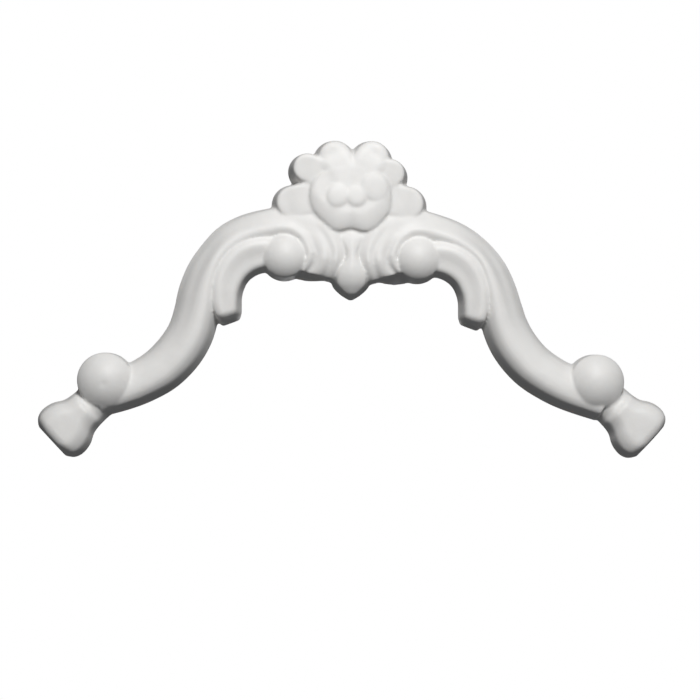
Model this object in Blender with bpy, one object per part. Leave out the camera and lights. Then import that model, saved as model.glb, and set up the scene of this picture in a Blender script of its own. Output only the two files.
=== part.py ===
"""Corner applique: one casting with a rose, two scrolled arms, four pearls and a hanging bud.

The frame is metres with +Z up. The casting stands upright with its relief towards -Y, and its
flat back is the plane Y = 0. The origin is on that back, behind the middle of the rose.

The relief is built up the way a carver does it: bands that follow the arms, leaves and feet,
and mounds for the pearls and petals. All of them start a little behind the back. They are
fused into one skin, softened as a cast is, and cut off flat at the back.

Every size in the tables below is in millimetres, and every place is (x, z) seen from the front.
"""

import math

import bmesh
import bpy

MM = 0.001

# How the solid is finished.
SKIN_VOXEL = 0.5 * MM
SOFTEN_FACTOR = 0.5
SOFTEN_TIMES = 4
FACE_SHARE = 0.098
BEHIND_BACK = 2.0
CUTTER_SIZE = 400 * MM

# How finely bands and mounds are drawn before they are fused.
BAND_STEPS = 72
BAND_POINTS = 28
MOUND_RINGS = 14
MOUND_SPOKES = 40

# How far from the top of a wall, as a share of its run, the rounding starts.
WALL_CORNER = 0.25

# Each station is (x, z, width) on the middle line of a band. An arm starts beside the hanging
# bud, bends over the inner pearl and ends under the outer pearl.
LEFT_ARM = [
    (-6.6, -22.4, 8.8), (-6.0, -16.4, 7.6), (-8.2, -11.4, 7.4), (-12.3, -7.7, 8.6),
    (-17.3, -7.1, 8.0), (-22.4, -7.7, 8.4), (-27.6, -9.3, 8.8), (-32.1, -11.9, 9.1),
    (-35.5, -15.7, 9.4), (-38.1, -20.4, 10.5), (-39.5, -25.6, 11.8), (-40.4, -31.1, 12.3),
    (-41.9, -36.4, 12.6), (-44.8, -41.4, 12.7), (-49.2, -45.6, 12.2), (-54.1, -48.7, 11.7),
    (-59.4, -50.9, 11.4), (-65.6, -53.0, 10.6),
]
RIGHT_ARM = [
    (6.5, -22.8, 8.8), (5.8, -17.0, 7.6), (8.0, -11.9, 7.4), (12.1, -8.1, 8.6),
    (17.3, -7.6, 8.0), (22.4, -8.6, 8.0), (26.9, -10.3, 8.0), (30.9, -12.6, 7.8),
    (34.2, -16.1, 8.6), (36.6, -20.2, 9.8), (38.2, -25.1, 10.9), (39.3, -30.0, 11.7),
    (40.6, -34.8, 12.3), (43.1, -39.7, 12.6), (47.3, -44.6, 12.5), (52.9, -48.4, 12.2),
    (58.6, -51.0, 12.0), (66.0, -54.2, 10.4),
]

# The leaf curls down from the inner pearl along the inside of the arm's bend. The right one is
# the left one mirrored and then moved.
LEAF = [
    (-20.2, -16.2, 8.0), (-24.6, -16.3, 8.8), (-28.2, -17.6, 9.2), (-30.8, -20.4, 8.8),
    (-32.2, -23.6, 8.3), (-32.5, -26.8, 7.7), (-32.3, -29.8, 7.3), (-32.1, -32.2, 6.4),
    (-32.0, -33.8, 4.6),
]
RIGHT_LEAF_SHIFT = (-0.8, -1.0)

# The foot is straight: its start, its direction, and (distance, width) along it.
FOOT_START = (-63.5, -50.8)
FOOT_SLOPE = math.radians(45.0)
FOOT_WIDTHS = [
    (0.0, 10.8), (3.2, 10.8), (6.0, 10.7), (8.4, 11.0), (10.4, 11.8), (12.4, 14.2),
    (14.4, 15.6), (16.4, 15.8), (18.2, 14.6), (19.6, 11.6),
]
RIGHT_FOOT_SHIFT = (1.0, 0.2)
RIGHT_FOOT_SWELL = 1.06

# How far across the leaf its rim is.
LEAF_RIM = 0.26

# The hanging bud and its stalk: (z, width, crown).
HANGING_BUD_X = -0.3
HANGING_BUD = [
    (-7.0, 9.6, 6.2), (-10.0, 8.8, 6.6), (-11.8, 7.8, 6.8), (-13.6, 6.6, 6.8),
    (-16.0, 5.8, 6.6), (-18.0, 6.6, 6.4), (-20.0, 8.6, 6.2), (-22.0, 10.0, 6.0),
    (-24.0, 9.4, 5.4), (-26.0, 6.6, 4.2), (-27.6, 1.6, 3.0),
]

# The web of ground between the pearls, from left to right.
GROUND_WEB = [
    (-24.0, -11.5, 6.0), (-19.0, -13.4, 14.0), (-12.0, -13.5, 18.6), (-4.0, -13.4, 18.0),
    (4.0, -13.4, 18.1), (12.0, -13.8, 19.8), (18.5, -14.0, 15.4), (23.6, -12.6, 6.0),
]
WEB_TOP = 5.2

# Pearls: (x, z, radius, top, dome, spread of the foot).
PEARLS = [
    (-17.7, -16.6, 5.5, 8.4, 3.1, 0.9), (17.1, -17.1, 5.5, 8.4, 3.1, 1.3),
    (-63.8, -48.95, 7.0, 8.7, 3.1, 0.6), (63.8, -49.0, 7.0, 8.7, 3.1, 0.6),
]

# Outer petals: (x, z, length, width, outward angle, rim height, climb inwards).
OUTER_PETALS = [
    (-15.8, -2.5, 10.8, 10.8, 140, 5.4, 0.4),
    (14.3, -2.6, 11.0, 11.0, 40, 5.4, 0.4),
    (-11.9, 6.5, 9.8, 9.8, 140, 6.7, 0.4),
    (9.9, 5.2, 9.8, 9.8, 35, 6.7, 0.4),
    (-4.6, 9.2, 11.4, 11.4, 105, 7.9, 0.3),
    (5.0, 9.1, 11.6, 11.6, 70, 7.9, 0.3),
]

# The bowl of broad petals: its middle, and its reach at even turns from +X.
BOWL_MIDDLE = (-0.4, -0.6)
BOWL_REACH = [11.4, 10.4, 9.0, 8.0, 8.0, 9.0, 10.4, 11.4, 11.4, 10.6, 9.9, 8.5, 9.9, 11.4]
BOWL_FLOOR = 7.8
BOWL_LIP = 0.35
BOWL_BELLY = 1.6

# Middle petals and the ground under them: (x, z, length, width, outward angle, top, fall).
MIDDLE_PETALS = [
    (-0.4, -0.5, 20.0, 29.0, 90, 7.4, 1.8),
    (-0.2, 5.2, 10.0, 17.0, 90, 8.35, 0.9),
    (6.7, 2.4, 7.2, 7.2, 0, 8.45, 0.5),
    (-3.4, 1.2, 6.6, 7.0, 250, 8.6, 0.5),
    (1.5, 1.5, 6.4, 6.6, 275, 8.7, 0.5),
]


def smooth_point(points, share):
    """The place at this share, 0 to 1, of a smooth curve through the points."""
    place = share * (len(points) - 1)
    index = min(int(place), len(points) - 2)
    rest = place - index
    before = points[max(index - 1, 0)]
    after = points[min(index + 2, len(points) - 1)]
    return tuple(
        0.5 * (2 * b + (c - a) * rest + (2 * a - 5 * b + 4 * c - d) * rest ** 2
               + (3 * b - a - 3 * c + d) * rest ** 3)
        for a, b, c, d in zip(before, points[index], points[index + 1], after)
    )


def along(keys, share):
    """A single size that changes smoothly along a band."""
    return smooth_point([(key,) for key in keys], share)[0]


def wall(distance, run):
    """0 at a wall's foot and 1 past its run, straight with a rounded top."""
    past = max(0.0, distance) / run - 1
    if past < -WALL_CORNER:
        return past + 1
    if past < WALL_CORNER:
        return past + 1 - (past + WALL_CORNER) ** 2 / (4 * WALL_CORNER)
    return 1.0


def relief(top, *edges):
    """A height, from the top's height and the (distance, run, reach, drop) of every edge.

    The run is how far the wall leans in. Past it the top is rounded over the reach, and falls
    by the drop.
    """
    height = top
    for distance, run, reach, drop in edges:
        height -= drop * max(0.0, 1 - max(0.0, distance - run) / reach) ** 2
    for distance, run, _, _ in edges:
        height *= wall(distance, run)
    return height


def roll(place, middle, width):
    """A rounded ridge, 1 at its middle."""
    return math.exp(-(((place - middle) / width) ** 2))


def close_rings(mesh, rings):
    """Joins rings of corners into a closed skin with a cap at each end."""
    for first, second in zip(rings, rings[1:]):
        for index, corner in enumerate(first):
            follow = (index + 1) % len(first)
            mesh.faces.new((corner, first[follow], second[follow], second[index]))
    mesh.faces.new(rings[0])
    mesh.faces.new(rings[-1])


def band(mesh, stations, height):
    """Adds a band along (x, z, width) stations, with height(across, share, left, right) over it.

    Across runs from 0 to 1, from the left edge to the right edge of somebody who walks along
    the band, and left and right are the distances to those edges.
    """
    rings = []
    for step in range(BAND_STEPS + 1):
        share = step / BAND_STEPS
        x, z, width = smooth_point(stations, share)
        back_x, back_z, _ = smooth_point(stations, max(0.0, share - 0.01))
        ahead_x, ahead_z, _ = smooth_point(stations, min(1.0, share + 0.01))
        heading = math.atan2(ahead_z - back_z, ahead_x - back_x)
        side_x, side_z = -math.sin(heading) * width / 2, math.cos(heading) * width / 2
        ring = []
        for index in range(BAND_POINTS + 1):
            across = (1 - math.cos(math.pi * index / BAND_POINTS)) / 2
            rise = height(across, share, across * width, (1 - across) * width)
            side = 1 - 2 * across
            place = ((x + side * side_x) * MM, -rise * MM, (z + side * side_z) * MM)
            ring.append(mesh.verts.new(place))
        for side in (-1, 1):
            place = ((x + side * side_x) * MM, BEHIND_BACK * MM, (z + side * side_z) * MM)
            ring.append(mesh.verts.new(place))
        rings.append(ring)
    close_rings(mesh, rings)


def mound(mesh, middle, reach, height, spread=0.0):
    """Adds a mound out to reach(angle) round a middle, with height(outward, angle) over it.

    The spread is how much farther the mound's foot reaches than its top.
    """
    rings = []
    for index in range(MOUND_RINGS):
        outward = math.cos(math.pi / 2 * index / MOUND_RINGS) if index else 1.0
        ring = []
        for spoke in range(MOUND_SPOKES):
            angle = math.tau * spoke / MOUND_SPOKES
            x = middle[0] + reach(angle) * outward * math.cos(angle)
            z = middle[1] + reach(angle) * outward * math.sin(angle)
            ring.append(mesh.verts.new((x * MM, -height(outward, angle) * MM, z * MM)))
        rings.append(ring)
    for depth in (0.0, BEHIND_BACK):
        ring = []
        for spoke in range(MOUND_SPOKES):
            angle = math.tau * spoke / MOUND_SPOKES
            x = middle[0] + (reach(angle) + spread) * math.cos(angle)
            z = middle[1] + (reach(angle) + spread) * math.sin(angle)
            ring.append(mesh.verts.new((x * MM, depth * MM, z * MM)))
        rings.insert(0, ring)
    close_rings(mesh, rings)


def arm(mesh, stations, outer_is_right):
    """An S-scroll arm: a rounded back with one soft ridge, spread into flutes beside the bud."""
    def height(across, share, left, right):
        if outer_is_right:
            across, left, right = 1 - across, right, left
        middle = along([0.76, 0.66, 0.76, 0.68, 0.62, 0.60, 0.61, 0.63, 0.60], share)
        body = along([5.9, 5.9, 5.7, 5.4, 5.3, 5.3, 5.3, 5.3, 5.4], share)
        body += along([0.5, 0.6, 0.8, 0.9, 0.9, 1.0, 1.1, 1.0, 0.5], share) * roll(across, middle, 0.28)
        body += max(0.0, 0.5 - 4 * share) * roll(across, 0.36, 0.10)
        outer_reach = along([1.4, 1.8, 3.2, 3.0, 2.9, 2.4, 1.8, 1.6, 1.6], share)
        outer_drop = along([0.8, 0.8, 1.2, 2.0, 2.2, 1.7, 1.0, 0.8, 0.8], share)
        inner_reach = along([0.6, 0.6, 0.6, 1.2, 1.8, 2.2, 2.4, 2.2, 2.0], share)
        inner_drop = along([0.3, 0.3, 0.4, 0.8, 1.2, 1.6, 1.7, 1.6, 1.3], share)
        return relief(
            body, (left, 1.0, outer_reach, outer_drop), (right, 1.3, inner_reach, inner_drop),
            (share * 120.0, 0.8, 5.2, 1.8))
    band(mesh, stations, height)


def leaf(mesh, stations, outer_is_right):
    """A curled leaf: a raised rim on the arm's side and a flat that falls to the inner edge."""
    def height(across, share, left, right):
        if outer_is_right:
            across, left, right = 1 - across, right, left
        before = max(0.0, LEAF_RIM - across) / LEAF_RIM
        after = max(0.0, across - LEAF_RIM) / (1 - LEAF_RIM)
        body = along([6.4, 6.7, 6.7, 6.6, 6.3, 5.8], share) - before ** 2 - 1.8 * after
        return relief(
            body, (left, 0.6, 0.8, 0.3), (right, 1.4, 0.8, 0.5), ((1 - share) * 26.0, 1.5, 1.6, 0.9))
    band(mesh, stations, height)


def foot(mesh, stations):
    """A flared foot with a domed top and a straight end face."""
    def height(across, share, left, right):
        body = along([5.2, 5.6, 6.2, 6.4, 6.6, 6.6], share)
        return relief(
            body, (left, 1.0, 3.8, 1.8), (right, 1.0, 3.8, 1.8), ((1 - share) * 19.6, 0.7, 2.4, 1.0))
    band(mesh, stations, height)


def hanging_bud(mesh):
    """The stalk and the round bud that hangs from it."""
    stations = [(HANGING_BUD_X, z, width) for z, width, _ in HANGING_BUD]
    crowns = [crown for _, _, crown in HANGING_BUD]

    def height(across, share, left, right):
        half = (left + right) / 2
        side = (min(1.1, 0.45 * half), 0.7 * half, 0.18 * half)
        return relief(along(crowns, share), (left, *side), (right, *side))
    band(mesh, stations, height)


def ground_web(mesh):
    """The low web between the pearls, the lobes and the bud."""
    def height(across, share, left, right):
        return relief(WEB_TOP, (left, 1.0, 1.0, 0.5), (right, 1.0, 4.6, 1.7))
    band(mesh, GROUND_WEB, height)


def pearl(mesh, x, z, radius, top, dome, spread):
    """A dome on a wall whose foot spreads."""
    ball = (radius ** 2 + dome ** 2) / (2 * dome)

    def height(outward, angle):
        return top - ball + math.sqrt(ball ** 2 - (radius * outward) ** 2)
    mound(mesh, (x, z), lambda angle: radius, height, spread)


def oval(length, width, turn):
    """How far an oval reaches at each angle, when its length points to the turn."""
    def reach(angle):
        lengthwise, sidewise = math.cos(angle - turn) * width, math.sin(angle - turn) * length
        return length * width / 2 / math.hypot(lengthwise, sidewise)
    return reach


def outer_petal(mesh, x, z, length, width, outward_angle, rim, climb):
    """A scooped petal: a rim at its outer end, a hollow, and a climb towards the middle."""
    turn = math.radians(outward_angle)
    reach = oval(length, width, turn)

    def height(outward, angle):
        forward = outward * math.cos(angle - turn)
        sideways = outward * math.sin(angle - turn)
        body = rim - 0.3 * roll(forward, 0.3, 0.34) * roll(sideways, 0, 0.55)
        body += climb * max(0.0, 0.6 - forward)
        return relief(body, ((1 - outward) * reach(angle), 1.3, 1.0, 0.3))
    mound(mesh, (x, z), reach, height)


def middle_petal(mesh, x, z, length, width, outward_angle, top, fall):
    """A domed petal whose edge stands on the petals behind it."""
    reach = oval(length, width, math.radians(outward_angle))

    def height(outward, angle):
        body = top - fall * outward ** 3
        return relief(body, ((1 - outward) * reach(angle), 0.4, 0.5, 0.1))
    mound(mesh, (x, z), reach, height)


def bowl(mesh):
    """The broad front petals that hold the middle of the rose like a bowl."""
    def reach(angle):
        place = angle / math.tau * len(BOWL_REACH)
        keys = [BOWL_REACH[(int(place) + step) % len(BOWL_REACH)] for step in (-1, 0, 1, 2)]
        return along(keys, (1 + place % 1) / 3)

    def height(outward, angle):
        down = max(0.0, -math.sin(angle))
        body = BOWL_FLOOR + BOWL_LIP * roll(outward, 0.52, 0.16)
        body -= BOWL_BELLY * max(0.0, outward - 0.5) / 0.5 * down
        return relief(body, ((1 - outward) * reach(angle), 0.5, 0.6, 0.15))
    mound(mesh, BOWL_MIDDLE, reach, height)


def mirrored(stations, shift):
    """The same stations on the other side of the middle line, moved by the shift."""
    return [(shift[0] - x, shift[1] + z, width) for x, z, width in stations]


def foot_stations(swell=1.0):
    """The left foot's stations, worked out from its start, its slope and how much it swells."""
    along_x, along_z = -math.cos(FOOT_SLOPE), -math.sin(FOOT_SLOPE)
    return [
        (FOOT_START[0] + far * along_x, FOOT_START[1] + far * along_z, width * swell)
        for far, width in FOOT_WIDTHS
    ]


def cast_resin():
    """White cast resin with a soft, even sheen."""
    material = bpy.data.materials.new("white_cast_resin")
    material.use_nodes = True
    shader = material.node_tree.nodes["Principled BSDF"]
    shader.inputs["Base Color"].default_value = (0.84, 0.83, 0.81, 1)
    shader.inputs["Roughness"].default_value = 0.5
    shader.inputs["Metallic"].default_value = 0.0
    return material


def back_cutter():
    """A hidden block behind the plane of the back."""
    block = bmesh.new()
    bmesh.ops.create_cube(block, size=CUTTER_SIZE)
    bmesh.ops.translate(block, verts=block.verts, vec=(0, CUTTER_SIZE / 2, 0))
    data = bpy.data.meshes.new("back_cutter")
    block.to_mesh(data)
    block.free()
    cutter = bpy.data.objects.new("back_cutter", data)
    cutter.hide_render = True
    cutter.display_type = "WIRE"
    bpy.context.scene.collection.objects.link(cutter)
    return cutter


def relief_mesh():
    """Every band and mound of the casting, not yet fused."""
    forms = bmesh.new()
    ground_web(forms)
    arm(forms, LEFT_ARM, True)
    arm(forms, RIGHT_ARM, False)
    leaf(forms, LEAF, True)
    leaf(forms, mirrored(LEAF, RIGHT_LEAF_SHIFT), False)
    foot(forms, foot_stations())
    foot(forms, mirrored(foot_stations(RIGHT_FOOT_SWELL), RIGHT_FOOT_SHIFT))
    hanging_bud(forms)
    for sizes in PEARLS:
        pearl(forms, *sizes)
    for sizes in OUTER_PETALS:
        outer_petal(forms, *sizes)
    bowl(forms)
    for sizes in MIDDLE_PETALS:
        middle_petal(forms, *sizes)
    bmesh.ops.recalc_face_normals(forms, faces=forms.faces)
    data = bpy.data.meshes.new("corner_applique")
    forms.to_mesh(data)
    forms.free()
    return data


def corner_applique():
    """The whole casting as one object."""
    data = relief_mesh()
    data.materials.append(cast_resin())
    casting = bpy.data.objects.new("corner_applique", data)
    bpy.context.scene.collection.objects.link(casting)

    skin = casting.modifiers.new("one_skin", "REMESH")
    skin.mode = "VOXEL"
    skin.voxel_size = SKIN_VOXEL
    soften = casting.modifiers.new("soft_cast", "SMOOTH")
    soften.factor = SOFTEN_FACTOR
    soften.iterations = SOFTEN_TIMES
    facets = casting.modifiers.new("fewer_facets", "DECIMATE")
    facets.ratio = FACE_SHARE
    cut = casting.modifiers.new("flat_back", "BOOLEAN")
    cut.operation = "DIFFERENCE"
    cut.solver = "EXACT"
    cut.object = back_cutter()
    return casting


def main():
    for old in list(bpy.data.objects):
        bpy.data.objects.remove(old)
    corner_applique()


main()
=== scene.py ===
"""Scene of a white cast corner applique: a rose, scrolled arms, pearls and a hanging bud.

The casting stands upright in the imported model's frame: metres, +Z up, relief towards -Y, and
the flat back on the plane Y = 0. Every size in the classes below is in millimetres, and every
place is (x, z) seen from the front, from an origin behind the middle of the rose.

Each form is a closed piece of relief that starts a little behind the back. All of them are
fused into one skin, which is smoothed and cut flat at the back.
"""

import logging
import math
from dataclasses import dataclass, field
from enum import Enum
from typing import Optional, Sequence

import bmesh
import bpy
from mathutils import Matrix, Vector


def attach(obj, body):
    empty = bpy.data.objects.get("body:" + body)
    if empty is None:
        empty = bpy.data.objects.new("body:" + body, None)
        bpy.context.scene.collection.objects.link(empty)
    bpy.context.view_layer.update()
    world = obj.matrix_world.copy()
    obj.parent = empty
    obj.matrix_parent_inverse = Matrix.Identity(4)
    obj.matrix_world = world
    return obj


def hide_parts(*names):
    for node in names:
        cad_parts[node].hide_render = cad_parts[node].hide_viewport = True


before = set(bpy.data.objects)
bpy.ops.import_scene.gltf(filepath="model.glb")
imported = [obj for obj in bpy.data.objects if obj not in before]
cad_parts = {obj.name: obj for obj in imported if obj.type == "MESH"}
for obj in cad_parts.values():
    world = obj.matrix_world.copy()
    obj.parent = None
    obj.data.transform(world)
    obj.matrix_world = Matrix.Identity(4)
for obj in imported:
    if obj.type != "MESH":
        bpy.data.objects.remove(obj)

MM = 0.001
NODE_NAME = "corner_applique"

# How far behind the back the forms start, in millimetres.
BEHIND_BACK = 2.0
# How far on both sides of a place a band's heading is measured, as a share of its length.
HEADING_STEP = 0.01
# How closely the rows of a band stand at its ends: 0 is even.
END_PACKING = 0.6
# How far under a sphere's widest ring a corner still counts as on it, as a share of its radius.
RING_TOLERANCE = 1e-4
# How near to the cutting plane a corner counts as on it, in metres.
CUT_TOLERANCE = 1e-7
# The material slot of the sanded back.
BACK_SLOT = 1

Sizes = Sequence[float]
Pair = tuple[float, float]
Triple = tuple[float, float, float]
# A place is (x, z), and a station is (x, z, width).
Place = Pair
Station = Triple

log = logging.getLogger("corner_applique")


class Side(Enum):
    """The half of the casting that a form belongs to, seen from the front."""

    LEFT = -1
    RIGHT = 1


class Rim(Enum):
    """Which edge of a band is its outer one, for somebody who walks along it."""

    ON_LEFT = 0
    ON_RIGHT = 1


def smooth_between(values: Sequence[tuple[float, ...]], share: float) -> tuple[float, ...]:
    """Reads a smooth curve through evenly spaced values.

    Args:
        values: the values that the curve passes through.
        share: the place on it, from 0 to 1.

    Returns:
        The value at that place.
    """
    place = share * (len(values) - 1)
    index = min(int(place), len(values) - 2)
    rest = place - index
    before = values[max(index - 1, 0)]
    after = values[min(index + 2, len(values) - 1)]
    return tuple(
        0.5 * (2 * b + (c - a) * rest + (2 * a - 5 * b + 4 * c - d) * rest**2
               + (3 * b - a - 3 * c + d) * rest**3)
        for a, b, c, d in zip(before, values[index], values[index + 1], after)
    )


def along(keys: Sizes, share: float) -> float:
    """Returns a single size that changes smoothly from the first key to the last."""
    return smooth_between([(key,) for key in keys], share)[0]


def ramp(place: float, corner: float = 0.25) -> float:
    """Climbs straight from 0 to 1 as its place does, with a small rounding at the top.

    Args:
        place: how far up the ramp it is, from 0.
        corner: how far from the top, both ways, the rounding reaches.

    Returns:
        The height, which stays 1 past the top.
    """
    past = place - 1
    if past < -corner:
        return place
    if past < corner:
        return place - (past + corner) ** 2 / (4 * corner)
    return 1.0


def roll(place: float, middle: float, width: float) -> float:
    """Returns a rounded ridge that is 1 at its middle."""
    return math.exp(-(((place - middle) / width) ** 2))


def soft_top(heights: Sizes, blend: float) -> float:
    """Joins overlapping heights into one surface with soft creases.

    Args:
        heights: the heights of the forms at one place.
        blend: how soft the creases are.

    Returns:
        The height of the surface.
    """
    highest = max(heights)
    total = sum(math.exp((height - highest) / blend) for height in heights)
    return highest + blend * math.log(total)


@dataclass(frozen=True)
class Edge:
    """How a top comes down to the back: a rounding, then a wall with the mould's draft.

    Attributes:
        run: how far the wall leans in, from its foot to its top.
        reach: how far the rounding goes on past the wall.
        drop: how far the top falls to the wall.
        power: 1.5 is an even bevel, and more leaves the fall to the end.
    """

    run: float = 1.2
    reach: float = 1.0
    drop: float = 0.5
    power: float = 2.0

    def fall(self, distance: float) -> float:
        """Returns how far the top has fallen at a distance from the wall's foot."""
        past = max(0.0, distance - self.run)
        return self.drop * max(0.0, 1 - past / self.reach) ** self.power

    def rise(self, distance: float) -> float:
        """Returns the share of the wall's height at a distance from its foot."""
        return ramp(max(0.0, distance) / self.run)


def relief(top: float, edges: Sequence[tuple[float, Edge]]) -> float:
    """Works out a height from the top's height and the edges round it.

    Args:
        top: the height far from every edge.
        edges: the distance to each edge, with the edge.

    Returns:
        The height over the back.
    """
    height = top - sum(edge.fall(distance) for distance, edge in edges)
    for distance, edge in edges:
        height *= edge.rise(distance)
    return height


@dataclass(frozen=True)
class Spot:
    """A place on a band.

    Attributes:
        share: how far along the band it is, from 0 to 1.
        across: how far across it is, from 0 at the outer edge to 1 at the inner edge.
        outer: the distance to the outer edge.
        inner: the distance to the inner edge.
        start: the distance to the band's start.
        end: the distance to the band's end.
    """

    share: float
    across: float
    outer: float
    inner: float
    start: float
    end: float


def close_behind(mesh: bmesh.types.BMesh) -> None:
    """Closes a relief surface with walls and a face a little behind the back.

    Args:
        mesh: the mesh that holds the surface and nothing else.
    """
    surface = mesh.faces[:] + mesh.edges[:]
    shell = bmesh.ops.extrude_face_region(mesh, geom=surface, use_keep_orig=True)
    for part in shell["geom"]:
        if isinstance(part, bmesh.types.BMVert):
            part.co.y = BEHIND_BACK


class Form:
    """A closed form of the relief, which starts behind the back."""

    def shape(self, mesh: bmesh.types.BMesh) -> None:
        """Makes the form, in millimetres."""
        raise NotImplementedError

    def add_to(self, forms: bmesh.types.BMesh) -> None:
        """Adds the form to the others.

        Args:
            forms: the mesh that holds every form.
        """
        own = bmesh.new()
        self.shape(own)
        data = bpy.data.meshes.new("form")
        own.to_mesh(data)
        own.free()
        forms.from_mesh(data)
        log.info("%s: %d faces before the forms are fused", type(self).__name__, len(data.polygons))
        bpy.data.meshes.remove(data)


@dataclass
class Band(Form):
    """A strip of relief that follows a middle line.

    Attributes:
        stations: (x, z, width) along the middle line.
        rim: which edge is the outer one.
        steps: rows of corners along the strip.
        points: corners across it.
    """

    stations: Sequence[Station]
    rim: Rim = Rim.ON_RIGHT
    steps: int = 150
    points: int = 44

    def length(self) -> float:
        """Returns the length of the middle line."""
        return sum(math.dist(a[:2], b[:2]) for a, b in zip(self.stations, self.stations[1:]))

    def height(self, spot: Spot) -> float:
        """Returns the relief's height over the back at a place on the band."""
        raise NotImplementedError

    def place(self, share: float, across: float) -> Vector:
        """Works out where a corner of the strip goes.

        Args:
            share: how far along the strip the corner is.
            across: how far across it is, from the left edge to the right edge.

        Returns:
            The corner, in millimetres.
        """
        x, z, width = smooth_between(self.stations, share)
        back = smooth_between(self.stations, max(0.0, share - HEADING_STEP))
        ahead = smooth_between(self.stations, min(1.0, share + HEADING_STEP))
        heading = math.atan2(ahead[1] - back[1], ahead[0] - back[0])
        side = (0.5 - across) * width
        x, z = x - side * math.sin(heading), z + side * math.cos(heading)
        if self.rim is Rim.ON_RIGHT:
            across = 1 - across
        length = self.length()
        spot = Spot(
            share=share,
            across=across,
            outer=across * width,
            inner=(1 - across) * width,
            start=share * length,
            end=(1 - share) * length,
        )
        return Vector((x, -self.height(spot), z))

    def shape(self, mesh: bmesh.types.BMesh) -> None:
        """Makes the strip and its walls, with its rows and corners closer at the edges.

        Args:
            mesh: the empty mesh that takes them.
        """
        grid = bmesh.ops.create_grid(mesh, x_segments=self.steps, y_segments=self.points, size=0.5)
        for corner in grid["verts"]:
            share, across = corner.co.x + 0.5, corner.co.y + 0.5
            share -= math.sin(math.tau * share) / math.tau * END_PACKING
            corner.co = self.place(share, (1 - math.cos(math.pi * across)) / 2)
        close_behind(mesh)


@dataclass
class Mound(Form):
    """A heap of relief round a middle.

    Attributes:
        x, z: the middle.
        spokes: corners round it.
        rings: rings of corners from its edge to its middle.
        spread: how much farther its foot reaches than its top.
    """

    x: float
    z: float
    spokes: int = 96
    rings: int = 28
    spread: float = 0.6

    def reach(self, angle: float) -> float:
        """Returns how far the mound reaches at an angle from +X."""
        raise NotImplementedError

    def height(self, outward: float, angle: float) -> float:
        """Returns the relief's height, with outward from 0 at the middle to 1 at the edge."""
        raise NotImplementedError

    def shape(self, mesh: bmesh.types.BMesh) -> None:
        """Makes the mound from the upper half of a ball, and its foot from the lower half.

        Args:
            mesh: the empty mesh that takes them.
        """
        ball = bmesh.ops.create_uvsphere(
            mesh, u_segments=self.spokes, v_segments=2 * self.rings, radius=1.0
        )
        first_ring_below = math.cos(math.pi / (2 * self.rings))
        for corner in ball["verts"]:
            outward = min(1.0, math.hypot(corner.co.x, corner.co.y))
            angle = math.atan2(corner.co.y, corner.co.x)
            if corner.co.z > -RING_TOLERANCE:
                reach, depth = self.reach(angle), -self.height(outward, angle)
            else:
                outward = min(1.0, outward / first_ring_below)
                reach, depth = self.reach(angle) + self.spread, BEHIND_BACK
            x = self.x + reach * outward * math.cos(angle)
            z = self.z + reach * outward * math.sin(angle)
            corner.co = (x, depth, z)


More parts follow.
